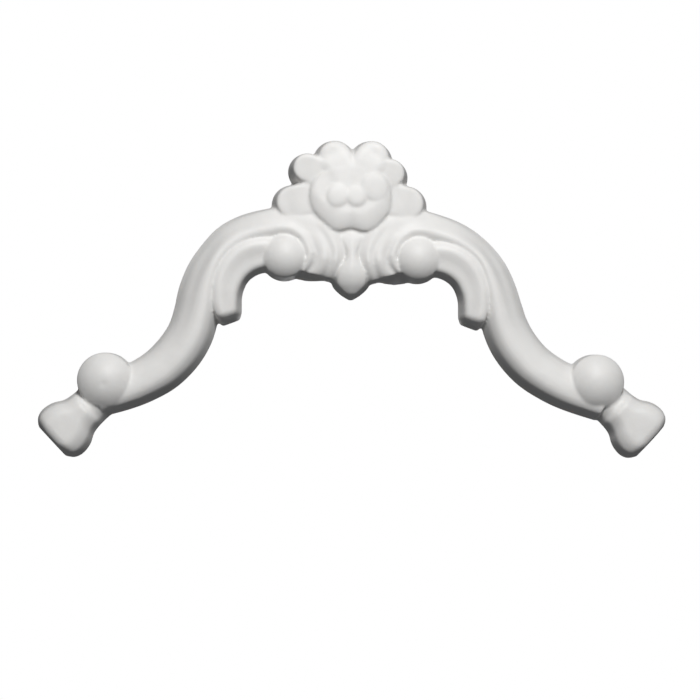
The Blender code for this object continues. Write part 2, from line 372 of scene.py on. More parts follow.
@dataclass
class ScrollArm(Band):
    """An S-scroll arm: flutes fan out beside the bud, and a ridge runs round the pearl.

    Each row of sizes runs from the bud's end to the foot's end.

    Attributes:
        crown: the height of the outer part.
        ridge: how far the ridge stands over it.
        ridge_place: how far across the ridge is.
        ridge_width: how broad the ridge is.
        ridge_inner: how broad its inner side is, as a share of its outer side.
        hollow: the depth of the hollow outside the ridge.
        hollow_offset: how far from the ridge the hollow is.
        hollow_width: how broad the hollow is.
        outer_run, outer_reach, outer_drop, outer_power: the outer edge.
        inner_run, inner_reach, inner_drop: the inner edge.
        start_run, start_power: the wall and the rounding of the end beside the bud.
        start_reach, start_drop: that rounding at the outer edge, and its change across the arm.
        flute: the height of the flutes beside the bud.
        flute_places: how far across the two flutes are.
        flute_widths: how broad they are.
        flute_run: how far from the bud they end.
        flute_fade: how late they begin to fade.
        groove, groove_width: the groove between the flutes, as a share of their height.
        gully, gully_place, gully_width: the groove between the flutes and the pearl.
        toe: how far the flutes bend to the pearl at their lower tips.
        toe_run: how far from the tips the bend ends.
        toe_pulls: how much the first flute, the groove, the second flute and the gully bend.
        toe_gully: how much deeper the bend makes the gully.
    """

    crown: Sizes = (6.3, 6.4, 6.1, 5.6, 5.4, 5.3, 5.3, 5.3, 5.3, 5.4)
    ridge: Sizes = (0.1, 0.3, 0.5, 0.8, 1.0, 1.3, 1.2, 1.1, 1.0, 0.5)
    ridge_place: Sizes = (0.93, 0.86, 0.79, 0.69, 0.64, 0.64, 0.62, 0.61, 0.63, 0.60)
    ridge_width: Sizes = (0.06, 0.08, 0.13, 0.23, 0.26, 0.22, 0.24, 0.28, 0.30, 0.30)
    ridge_inner: float = 0.87
    hollow: Sizes = (0.0, 0.0, 0.0, 0.1, 0.2, 0.35, 0.35, 0.25, 0.15, 0.0)
    hollow_offset: float = 0.27
    hollow_width: float = 0.12
    outer_run: float = 1.0
    outer_reach: Sizes = (4.2, 3.0, 4.0, 4.2, 4.6, 4.6, 4.4, 4.0, 3.4, 2.8)
    outer_drop: Sizes = (3.0, 0.8, 0.6, 2.3, 3.7, 4.0, 3.7, 3.1, 2.7, 1.8)
    outer_power: float = 1.8
    inner_run: Sizes = (0.6, 0.5, 0.6, 0.8, 1.0, 1.3, 1.4, 1.4, 1.4, 1.4)
    inner_reach: Sizes = (0.8, 0.8, 1.2, 1.6, 1.5, 1.8, 2.2, 2.4, 2.2, 2.0)
    inner_drop: Sizes = (0.3, 0.3, 0.3, 0.5, 0.8, 1.2, 1.5, 1.4, 1.1, 0.8)
    start_run: float = 0.8
    start_reach: Pair = (5.4, 2.6)
    start_drop: Pair = (3.8, -3.1)
    start_power: float = 2.3
    flute: float = 0.4
    flute_places: Pair = (0.31, 0.56)
    flute_widths: Pair = (0.09, 0.10)
    flute_run: float = 17.0
    flute_fade: float = 1.6
    groove: float = 0.7
    groove_width: float = 0.05
    gully: float = 1.1
    gully_place: float = 0.74
    gully_width: float = 0.06
    toe: float = 0.10
    toe_run: float = 7.0
    toe_pulls: tuple[float, float, float, float] = (0.4, 0.6, 1.0, 1.6)
    toe_gully: float = 12.0

    def flutes(self, spot: Spot) -> float:
        """Works out how far the flutes and the grooves between them change the height.

        Args:
            spot: the place on the arm.

        Returns:
            The change, which is below 0 in a groove.
        """
        across = spot.across
        beside_bud = max(0.0, 1 - spot.start / self.flute_run)
        bend = self.toe * max(0.0, 1 - spot.start / self.toe_run) ** 2
        first_bend, groove_bend, second_bend, gully_bend = (bend * pull for pull in self.toe_pulls)
        first, second = self.flute_places
        first_width, second_width = self.flute_widths
        between = 0.5 * (first + second) + groove_bend
        gully = self.gully + self.toe_gully * bend
        change = roll(across, first + first_bend, first_width)
        change += roll(across, second + second_bend, second_width)
        change -= self.groove * roll(across, between, self.groove_width)
        change -= gully * roll(across, self.gully_place + gully_bend, self.gully_width)
        return self.flute * change * min(1.0, self.flute_fade * beside_bud)

    def edges(self, spot: Spot) -> tuple[tuple[float, Edge], ...]:
        """Lists the arm's edges.

        Args:
            spot: the place on the arm.

        Returns:
            The distance to each edge, with the edge.
        """
        share, across = spot.share, spot.across
        outer = Edge(
            self.outer_run,
            along(self.outer_reach, share),
            along(self.outer_drop, share),
            self.outer_power,
        )
        inner = Edge(
            along(self.inner_run, share),
            along(self.inner_reach, share),
            along(self.inner_drop, share),
        )
        start = Edge(
            self.start_run,
            self.start_reach[0] + self.start_reach[1] * across,
            self.start_drop[0] + self.start_drop[1] * across,
            self.start_power,
        )
        return (spot.outer, outer), (spot.inner, inner), (spot.start, start)

    def height(self, spot: Spot) -> float:
        """Works out the arm's section.

        Args:
            spot: the place on the arm.

        Returns:
            The height over the back.
        """
        share, across = spot.share, spot.across
        middle = along(self.ridge_place, share)
        width = along(self.ridge_width, share) * (1.0 if across < middle else self.ridge_inner)
        hollow_place = middle - self.hollow_offset
        top = along(self.crown, share) + along(self.ridge, share) * roll(across, middle, width)
        top -= along(self.hollow, share) * roll(across, hollow_place, self.hollow_width)
        top += self.flutes(spot)
        return relief(top, self.edges(spot))


@dataclass
class CurledLeaf(Band):
    """The leaf inside the arm's bend: a raised rim and a flat that falls to the inner edge.

    Attributes:
        crest: the height of the rim, from the pearl to the tip.
        rim_place: how far across the rim is.
        rim_fall: how far the rim falls to the outer edge.
        rim_softness: how rounded the rim is.
        flat_fall: how far the flat falls to the inner edge.
        hollow: how deep the dip beside the rim is.
        hollow_offset: how far from the rim the dip is.
        hollow_width: how broad the dip is.
        inner_run: how far the inner wall leans in, from the pearl to the tip.
        inner_reach, inner_drop: the rounding of the inner edge.
        outer_edge: how the leaf meets the arm.
        tip: how its tip comes down to the back.
    """

    steps: int = 90
    points: int = 40
    crest: Sizes = (6.4, 6.7, 6.7, 6.6, 6.3, 5.8)
    rim_place: float = 0.29
    rim_fall: float = 1.3
    rim_softness: float = 0.07
    flat_fall: float = 1.8
    hollow: float = 0.22
    hollow_offset: float = 0.3
    hollow_width: float = 0.18
    inner_run: Sizes = (0.9, 0.9, 1.2, 1.4)
    inner_reach: float = 1.3
    inner_drop: float = 0.7
    outer_edge: Edge = Edge(0.4, 0.5, 0.1)
    tip: Edge = Edge(2.4, 2.4, 1.4)

    def height(self, spot: Spot) -> float:
        """Works out the leaf's section.

        Args:
            spot: the place on the leaf.

        Returns:
            The height over the back.
        """
        before = max(0.0, self.rim_place - spot.across) / self.rim_place
        after = max(0.0, spot.across - self.rim_place) / (1 - self.rim_place)
        hollow_place = self.rim_place + self.hollow_offset
        top = along(self.crest, spot.share) - self.rim_fall * before**2
        top -= self.flat_fall * (math.hypot(after, self.rim_softness) - self.rim_softness)
        top -= self.hollow * roll(spot.across, hollow_place, self.hollow_width)
        inner = Edge(along(self.inner_run, spot.share), self.inner_reach, self.inner_drop)
        edges = ((spot.outer, self.outer_edge), (spot.inner, inner), (spot.end, self.tip))
        return relief(top, edges)


@dataclass
class FlaredFoot(Band):
    """The foot: a neck that flares to a straight end face, with a domed top.

    Attributes:
        top: the height of the middle, from the pearl to the end face.
        step_place: how far from its start the neck steps up beside the pearl.
        step: the height of that step.
        side: how both sides come down to the back.
        end_face: how the end comes down to the back.
    """

    steps: int = 80
    points: int = 40
    top: Sizes = (6.3, 6.2, 6.2, 6.4, 6.6, 6.6)
    step_place: float = 4.9
    step: float = 1.2
    side: Edge = Edge(1.1, 3.8, 2.3)
    end_face: Edge = Edge(1.2, 2.6, 1.2)

    def height(self, spot: Spot) -> float:
        """Works out the foot's section.

        Args:
            spot: the place on the foot.

        Returns:
            The height over the back.
        """
        top = along(self.top, spot.share)
        top -= self.step * (1 - ramp(max(0.0, spot.start - self.step_place)))
        edges = ((spot.outer, self.side), (spot.inner, self.side), (spot.end, self.end_face))
        return relief(top, edges)


@dataclass
class HangingBud(Band):
    """The stalk under the rose and the bud that hangs from it.

    Attributes:
        crowns: the height over the back at each station.
        falls: how far it falls from the middle to its edges.
        fall_power: 1 is a straight fall, and more leaves it to the edges.
        keel: the height of the soft keel down the middle.
        keel_width: how broad the keel is.
        side_run: how far the side walls lean in.
        side_share: the most that a wall takes of the width.
        side_reach, side_drop: the rounding over the side walls.
        tip: how the tip comes down to the back.
    """

    steps: int = 90
    points: int = 36
    crowns: Sizes = (5.2, 5.7, 6.1, 6.35, 6.5, 6.65, 6.75, 6.5, 5.7, 4.1, 2.2)
    falls: Sizes = (0.3, 0.3, 0.4, 0.7, 1.1, 1.3, 1.7, 2.1, 2.2, 1.6, 0.6)
    fall_power: float = 2.2
    keel: float = 0.15
    keel_width: float = 0.12
    side_run: float = 1.2
    side_share: float = 0.48
    side_reach: float = 0.4
    side_drop: float = 0.1
    tip: Edge = Edge(1.4, 0.6, 0.2)

    def height(self, spot: Spot) -> float:
        """Works out the bud's section.

        Args:
            spot: the place on the bud.

        Returns:
            The height over the back.
        """
        top = along(self.crowns, spot.share) + self.keel * roll(spot.across, 0.5, self.keel_width)
        top -= along(self.falls, spot.share) * abs(2 * spot.across - 1) ** self.fall_power
        run = min(self.side_run, self.side_share * (spot.outer + spot.inner))
        side = Edge(run, self.side_reach, self.side_drop)
        return relief(top, ((spot.outer, side), (spot.inner, side), (spot.end, self.tip)))


@dataclass
class GroundWeb(Band):
    """The low web between the pearls, the flutes and the bud.

    Attributes:
        top: its height.
        lower_edge: how it comes down to the back between the pearls.
        upper_edge: its edge under the rose, which the rose hides.
    """

    steps: int = 90
    points: int = 30
    top: float = 4.3
    lower_edge: Edge = Edge(2.4, 1.0, 0.4)
    upper_edge: Edge = Edge()

    def height(self, spot: Spot) -> float:
        """Returns the height of the web."""
        return relief(self.top, ((spot.outer, self.lower_edge), (spot.inner, self.upper_edge)))


@dataclass
class Pearl(Mound):
    """A dome on a wall, with the small pits that the mould left.

    Attributes:
        radius: the dome's radius where it meets the wall.
        wall: the height of the wall.
        dome: the height of the dome over the wall.
        pits: (x, z, width, depth) of each pit, from the pearl's middle.
    """

    radius: float = 5.7
    wall: float = 5.3
    dome: float = 3.15
    pits: Sequence[tuple[float, float, float, float]] = ()

    def reach(self, angle: float) -> float:
        """Returns the dome's radius."""
        return self.radius

    def height(self, outward: float, angle: float) -> float:
        """Works out the dome over its wall.

        Args:
            outward: how far out the place is, from 0 at the middle to 1 at the edge.
            angle: its angle from +X, in radians.

        Returns:
            The height over the back.
        """
        ball = (self.radius**2 + self.dome**2) / (2 * self.dome)
        rise = self.wall + self.dome - ball + math.sqrt(ball**2 - (self.radius * outward) ** 2)
        for pit_x, pit_z, width, depth in self.pits:
            x = self.radius * outward * math.cos(angle) - pit_x
            z = self.radius * outward * math.sin(angle) - pit_z
            rise -= depth * roll(math.hypot(x, z), 0, width)
        return rise


@dataclass(frozen=True)
class OuterPetal:
    """A petal with a round end, which runs in under the middle of the rose.

    Attributes:
        x, z: the middle of its round end.
        radius: the radius of that end.
        rim: the height of its rim.
        inner: the height of its inner end.
        dip: how far it falls from its middle to its lower side, and rises to its upper one.
        lower_dip: how much more it falls than it rises, as a share.
        hollow: the depth of the hollow behind its rim.
        hollow_place: how far in from its rim the hollow is, in radii.
        hollow_width: how broad the hollow is, in radii.
        root: the place that it runs in to.
        edge: how it comes down to the back.
    """

    x: float
    z: float
    radius: float
    rim: float
    inner: float
    dip: float = 0.0
    lower_dip: float = 0.4
    hollow: float = 0.3
    hollow_place: float = 0.75
    hollow_width: float = 0.34
    root: Place = (-0.3, 1.0)
    edge: Edge = Edge(1.3, 0.9, 0.2)

    def height(self, x: float, z: float) -> float:
        """Works out the petal's height.

        Args:
            x, z: the place.

        Returns:
            The height over the back, which is below 0 outside it.
        """
        run = math.dist((self.x, self.z), self.root)
        in_x, in_z = (self.root[0] - self.x) / run, (self.root[1] - self.z) / run
        inwards = (x - self.x) * in_x + (z - self.z) * in_z
        nearest = min(run, max(0.0, inwards))
        off_x, off_z = x - self.x - nearest * in_x, z - self.z - nearest * in_z
        inside = self.radius - math.hypot(off_x, off_z)
        if inside < 0:
            return self.rim * inside / self.edge.run
        share = min(1.0, max(0.0, inwards + self.radius) / (run + self.radius))
        top = self.inner - (self.inner - self.rim) * (1 - share) ** 3
        lowered = max(-1.0, min(1.0, -off_z / self.radius))
        top -= self.dip * lowered * (1 + self.lower_dip * max(0.0, lowered))
        behind_rim = (inwards + self.radius) / self.radius
        top -= self.hollow * roll(behind_rim, self.hollow_place, self.hollow_width)
        return relief(top, ((inside, self.edge),))


@dataclass(frozen=True)
class MiddlePetal:
    """A softly domed petal that lies over the ones behind it.

    Attributes:
        x, z: its middle.
        length: its length, along its outward angle.
        width: its width.
        outward_angle: where it points, in degrees from +X.
        top: the height at its middle.
        fall: how far the dome falls to its edge.
        tilt: how much higher its outward end is than its middle.
        side_slope: how steeply its side goes down outside its edge.
    """

    x: float
    z: float
    length: float
    width: float
    outward_angle: float
    top: float = 8.2
    fall: float = 0.25
    tilt: float = 0.1
    side_slope: float = 2.0

    def height(self, x: float, z: float) -> float:
        """Works out the petal's height.

        Args:
            x, z: the place.

        Returns:
            The height over the back, which falls away outside it.
        """
        turn = math.radians(self.outward_angle)
        forward = ((x - self.x) * math.cos(turn) + (z - self.z) * math.sin(turn)) / self.length * 2
        sideways = ((z - self.z) * math.cos(turn) - (x - self.x) * math.sin(turn)) / self.width * 2
        outward = math.hypot(forward, sideways)
        top = self.top + self.tilt * forward
        if outward > 1:
            return top - self.fall - self.side_slope * (outward - 1) * self.width / 2
        return top - self.fall * outward**3


@dataclass(frozen=True)
class Bowl:
    """The broad front petals that hold the middle of the rose like a bowl.

    The lip and the belly are on the lower side, and fade out upwards.

    Attributes:
        x, z: its middle.
        reaches: how far it reaches at even turns from +X.
        floor: the height inside the lip.
        fade_top: how far up the lip and the belly have faded out, as a sine.
        fade_run: how far below that they are whole.
        lip: how far the lip stands over the floor.
        lip_width: how broad the lip is, as a share of the reach.
        lip_place: how far out the lip is straight down, as a share of the reach.
        lip_spread: how much farther out it is on both sides.
        lip_power: 1 is an even spread, and more leaves it to the sides.
        belly: how far the outside falls to the edge.
        belly_power: 1 is a straight fall, and more leaves it to the edge.
        seam: the depth of the seam between the two petals.
        seam_width: how broad the seam is, as a cosine.
        edge: how its edge stands on the petals behind.
    """

    x: float = -0.4
    z: float = -0.6
    reaches: Sizes = (
        11.0, 10.7, 9.5, 8.2, 8.0, 8.2, 9.4, 10.9,
        11.5, 11.3, 10.7, 10.8, 9.5, 11.0, 11.1, 11.3,
    )
    floor: float = 7.65
    fade_top: float = 0.6
    fade_run: float = 0.8
    lip: float = 0.12
    lip_width: float = 0.13
    lip_place: float = 0.49
    lip_spread: float = 0.26
    lip_power: float = 1.5
    belly: float = 1.4
    belly_power: float = 2.6
    seam: float = 0.1
    seam_width: float = 0.12
    edge: Edge = Edge(0.6, 0.5, 0.1)

    def reach(self, angle: float) -> float:
        """Works out how far the bowl reaches.

        Args:
            angle: the angle from +X, in radians.

        Returns:
            The reach, which changes smoothly from one turn to the next.
        """
        place = angle % math.tau / math.tau * len(self.reaches)
        keys = [self.reaches[(int(place) + step) % len(self.reaches)] for step in (-1, 0, 1, 2)]
        return along(keys, (1 + place % 1) / 3)

    def height(self, x: float, z: float) -> float:
        """Works out the bowl's height.

        Args:
            x, z: the place.

        Returns:
            The height over the back, which is below 0 outside it.
        """
        angle = math.atan2(z - self.z, x - self.x)
        reach = self.reach(angle)
        outward = math.hypot(x - self.x, z - self.z) / reach
        if outward > 1:
            return self.floor * (1 - outward) * reach
        down = min(1.0, max(0.0, self.fade_top - math.sin(angle)) / self.fade_run)
        sideways = 1 - max(0.0, -math.sin(angle))
        lip_place = self.lip_place + self.lip_spread * sideways**self.lip_power
        past_lip = max(0.0, outward - lip_place) / (1 - lip_place)
        top = self.floor + self.lip * down * roll(outward, lip_place, self.lip_width)
        top -= self.belly * down * past_lip**self.belly_power
        top -= self.seam * down * outward * roll(math.cos(angle), 0, self.seam_width)
        return relief(top, (((1 - outward) * reach, self.edge),))


@dataclass
class Rose(Form):
    """The open rose on the middle line, as one surface.

    Attributes:
        outer_petals: the six round petals behind.
        bowl: the broad petals in front.
        middle_petals: the small petals inside the bowl.
        corner: the lower left corner of the grid that carries the surface.
        size: the grid's width and height.
        cell: the size of its cells.
        blend: how soft the creases are.
    """

    outer_petals: Sequence[OuterPetal] = (
        OuterPetal(-15.7, -2.5, radius=5.4, rim=5.75, inner=6.5, dip=0.2, hollow=0.15),
        OuterPetal(14.3, -2.6, radius=5.5, rim=5.75, inner=6.5, dip=0.2, hollow=0.15),
        OuterPetal(-11.8, 6.4, radius=5.0, rim=6.8, inner=7.2, dip=0.5, hollow=0.1),
        OuterPetal(9.8, 5.1, radius=5.0, rim=6.8, inner=7.2, dip=0.5, hollow=0.1),
        OuterPetal(-4.6, 9.2, radius=5.7, rim=7.7, inner=7.75, edge=Edge(1.4, 2.2, 0.6)),
        OuterPetal(5.0, 9.1, radius=5.8, rim=7.7, inner=7.75, edge=Edge(1.4, 2.2, 0.6)),
    )
    bowl: Bowl = Bowl()
    middle_petals: Sequence[MiddlePetal] = (
        MiddlePetal(5.6, 1.3, length=6.8, width=6.6, outward_angle=-40, top=8.15, tilt=-0.1),
        MiddlePetal(-4.0, -0.9, length=5.8, width=5.2, outward_angle=250),
        MiddlePetal(0.9, -1.0, length=5.2, width=5.0, outward_angle=275),
    )
    corner: Place = (-23.0, -13.0)
    size: Pair = (45.0, 30.0)
    cell: float = 0.25
    blend: float = 0.12

    def height(self, x: float, z: float) -> float:
        """Returns the height of the rose at a place, down to a little behind the back."""
        parts = (*self.outer_petals, self.bowl, *self.middle_petals)
        return max(-BEHIND_BACK / 2, soft_top([part.height(x, z) for part in parts], self.blend))

    def shape(self, mesh: bmesh.types.BMesh) -> None:
        """Makes the surface and its walls.

        Args:
            mesh: the empty mesh that takes them.
        """
        columns, rows = (round(side / self.cell) for side in self.size)
        grid = bmesh.ops.create_grid(mesh, x_segments=columns, y_segments=rows, size=0.5)
        for corner in grid["verts"]:
            x = self.corner[0] + (corner.co.x + 0.5) * self.size[0]
            z = self.corner[1] + (corner.co.y + 0.5) * self.size[1]
            corner.co = (x, -self.height(x, z), z)
        close_behind(mesh)


@dataclass
class ScrollHalf:
    """One side of the casting: an arm, its leaf, its two pearls and its foot.

    The left leaf and the left foot give the right ones too, which are mirrored and then moved.

    Attributes:
        side: which half this is.
        arm: the arm.
        inner_pearl: the pearl beside the bud.
        outer_pearl: the pearl at the arm's end.
        leaf_shift: how far the leaf is moved from the mirrored place.
        foot_shift: how far the foot is moved from the mirrored place.
        foot_swell: how much wider the foot is than the left one.
        leaf_line: the left leaf's stations.
        foot_start: where the left foot's middle line starts.
        foot_slope: how steeply it goes down, in degrees.
        foot_widths: (distance from its start, width) along it.
    """

    side: Side
    arm: ScrollArm
    inner_pearl: Pearl
    outer_pearl: Pearl
    leaf_shift: Place = (0.0, 0.0)
    foot_shift: Place = (0.0, 0.0)
    foot_swell: float = 1.0
    leaf_line: Sequence[Station] = (
        (-20.2, -15.9, 8.8), (-24.6, -16.0, 9.4), (-28.3, -17.5, 9.6), (-31.0, -20.3, 9.2),
        (-32.4, -23.6, 8.8), (-32.8, -26.8, 8.2), (-32.6, -29.6, 7.8), (-32.0, -32.0, 6.8),
        (-31.4, -33.7, 4.8),
    )
    foot_start: Place = (-63.2, -51.1)
    foot_slope: float = 43.2
    foot_widths: Sequence[Pair] = (
        (0.0, 10.8), (3.2, 10.7), (6.0, 10.6), (8.4, 10.9), (10.4, 11.8), (12.4, 14.1),
        (14.4, 15.3), (16.4, 15.4), (18.2, 14.0), (19.7, 10.4),
    )

    def mirrored(self, stations: Sequence[Station], shift: Place) -> list[Station]:
        """Puts left-hand stations on this half.

        Args:
            stations: the stations on the left half.
            shift: how far they are moved from the mirrored place.

        Returns:
            The stations on this half.
        """
        if self.side is Side.LEFT:
            return list(stations)
        return [(shift[0] - x, shift[1] + z, width) for x, z, width in stations]

    def foot_line(self) -> list[Station]:
        """Works out the left foot's stations from its start and slope.

        Returns:
            The stations, from the pearl to the end face.
        """
        start_x, start_z = self.foot_start
        along_x = -math.cos(math.radians(self.foot_slope))
        along_z = -math.sin(math.radians(self.foot_slope))
        return [
            (start_x + far * along_x, start_z + far * along_z, width * self.foot_swell)
            for far, width in self.foot_widths
        ]

    def add_to(self, mesh: bmesh.types.BMesh) -> None:
        """Adds every form of this half.

        Args:
            mesh: the mesh that holds every form.
        """
        rim = Rim.ON_RIGHT if self.side is Side.LEFT else Rim.ON_LEFT
        leaf = CurledLeaf(self.mirrored(self.leaf_line, self.leaf_shift), rim)
        foot = FlaredFoot(self.mirrored(self.foot_line(), self.foot_shift), rim)
        for form in (self.arm, leaf, foot, self.inner_pearl, self.outer_pearl):
            form.add_to(mesh)


def blank_material(name: str) -> tuple[bpy.types.Material, bpy.types.Node]:
    """Starts a node material.

    Args:
        name: what the material is called.

    Returns:
        The material and its shader node.
    """
    material = bpy.data.materials.new(name)
    material.use_nodes = True
    return material, material.node_tree.nodes["Principled BSDF"]


def add_noise(
    tree: bpy.types.NodeTree, place: bpy.types.NodeSocket, scale: float, detail: float
) -> bpy.types.NodeSocket:
    """Adds a noise pattern to a material.

    Args:
        tree: the material's nodes.
        place: the socket that gives the place on the casting.
        scale: how fine the pattern is.
        detail: how many finer layers it has.

    Returns:
        The socket that gives the pattern, from 0 to 1.
    """
    noise = tree.nodes.new("ShaderNodeTexNoise")
    noise.inputs["Scale"].default_value = scale
    noise.inputs["Detail"].default_value = detail
    tree.links.new(place, noise.inputs["Vector"])
    return noise.outputs["Fac"]


def add_bump(
    tree: bpy.types.NodeTree,
    pattern: bpy.types.NodeSocket,
    depth: float,
    under: Optional[bpy.types.NodeSocket] = None,
) -> bpy.types.NodeSocket:
    """Adds a bump to a material.

    Args:
        tree: the material's nodes.
        pattern: the socket that gives the bump's height, from 0 to 1.
        depth: how deep the bump is, in millimetres.
        under: the socket of a bump that this one lies on.

    Returns:
        The socket that gives the bumped normal.
    """
    bump = tree.nodes.new("ShaderNodeBump")
    bump.inputs["Distance"].default_value = depth * MM
    tree.links.new(pattern, bump.inputs["Height"])
    if under is not None:
        tree.links.new(under, bump.inputs["Normal"])
    return bump.outputs["Normal"]


@dataclass(frozen=True)
class CastResin:
    """White resin as it leaves the mould: matte, faintly mottled and never quite flat.

    Attributes:
        name: what the material is called.
        tone: the main colour.
        shade: the colour of the faint mottling.
        mottle_scale: how fine the mottling is.
        mottle_range: the part of the mottling's pattern that goes from the tone to the shade.
        roughness: how matte the skin is.
        roughness_change: how far the mottling changes that, both ways.
        refraction: the resin's index of refraction.
        milkiness: the share of the light that goes into the resin.
        milk_depth: how far that light spreads, in millimetres.
        milk_tint: how far each colour spreads, as a share of that.
        wave_scale, wave_depth: how fine and how deep, in millimetres, the slow waviness is.
        grain_scale, grain_depth: how fine and how deep, in millimetres, the fine grain is.
    """

    name: str = "white_cast_resin"
    tone: Triple = (0.86, 0.85, 0.83)
    shade: Triple = (0.80, 0.79, 0.77)
    mottle_scale: float = 140
    mottle_range: Pair = (0.45, 0.8)
    roughness: float = 0.52
    roughness_change: float = 0.06
    refraction: float = 1.5
    milkiness: float = 0.12
    milk_depth: float = 0.8
    milk_tint: Triple = (1.0, 0.9, 0.8)
    wave_scale: float = 260
    wave_depth: float = 0.05
    grain_scale: float = 3200
    grain_depth: float = 0.012

    def material(self) -> bpy.types.Material:
        """Makes the node material.

        Returns:
            The material.
        """
        material, shader = blank_material(self.name)
        shader.inputs["IOR"].default_value = self.refraction
        shader.inputs["Subsurface Weight"].default_value = self.milkiness
        shader.inputs["Subsurface Radius"].default_value = self.milk_tint
        shader.inputs["Subsurface Scale"].default_value = self.milk_depth * MM
        tree = material.node_tree
        nodes, links = tree.nodes, tree.links
        place = nodes.new("ShaderNodeTexCoord").outputs["Object"]
        mottle = add_noise(tree, place, self.mottle_scale, detail=4)

        tint = nodes.new("ShaderNodeMix")
        tint.data_type = "RGBA"
        tint.inputs["A"].default_value = (*self.tone, 1)
        tint.inputs["B"].default_value = (*self.shade, 1)
        share = nodes.new("ShaderNodeMapRange")
        share.inputs["From Min"].default_value = self.mottle_range[0]
        share.inputs["From Max"].default_value = self.mottle_range[1]
        links.new(mottle, share.inputs["Value"])
        links.new(share.outputs["Result"], tint.inputs["Factor"])
        links.new(tint.outputs["Result"], shader.inputs["Base Color"])

        polish = nodes.new("ShaderNodeMapRange")
        polish.inputs["To Min"].default_value = self.roughness - self.roughness_change
        polish.inputs["To Max"].default_value = self.roughness + self.roughness_change
        links.new(mottle, polish.inputs["Value"])
        links.new(polish.outputs["Result"], shader.inputs["Roughness"])

        waves = add_noise(tree, place, self.wave_scale, detail=2)
        grain = add_noise(tree, place, self.grain_scale, detail=3)
        waved = add_bump(tree, waves, self.wave_depth)
        grained = add_bump(tree, grain, self.grain_depth, under=waved)
        links.new(grained, shader.inputs["Normal"])
        return material


@dataclass(frozen=True)
class SandedBack:
    """The back of the casting, rubbed flat on coarse paper.

    Attributes:
        name: what the material is called.
        tone: its colour.
        roughness: how matte it is.
        scratch_depth: the depth of the scratches, in millimetres.
        scratch_angle: how far the scratches are turned from level, in degrees.
        scratch_scale: how fine they are along X, Y and Z, so they are long and narrow.
    """

    name: str = "sanded_back"
    tone: Triple = (0.80, 0.79, 0.76)
    roughness: float = 0.75
    scratch_depth: float = 0.03
    scratch_angle: float = 24.0
    scratch_scale: Triple = (60, 1, 2400)

    def material(self) -> bpy.types.Material:
        """Makes the node material.

        Returns:
            The material.
        """
        material, shader = blank_material(self.name)
        shader.inputs["Roughness"].default_value = self.roughness
        shader.inputs["Base Color"].default_value = (*self.tone, 1)
        tree = material.node_tree
        place = tree.nodes.new("ShaderNodeTexCoord")
        stretch = tree.nodes.new("ShaderNodeMapping")
        stretch.inputs["Rotation"].default_value = (0, math.radians(self.scratch_angle), 0)
        stretch.inputs["Scale"].default_value = self.scratch_scale
        tree.links.new(place.outputs["Object"], stretch.inputs["Vector"])
        scratches = add_noise(tree, stretch.outputs["Vector"], scale=1, detail=5)
        normal = add_bump(tree, scratches, self.scratch_depth)
        tree.links.new(normal, shader.inputs["Normal"])
        return material


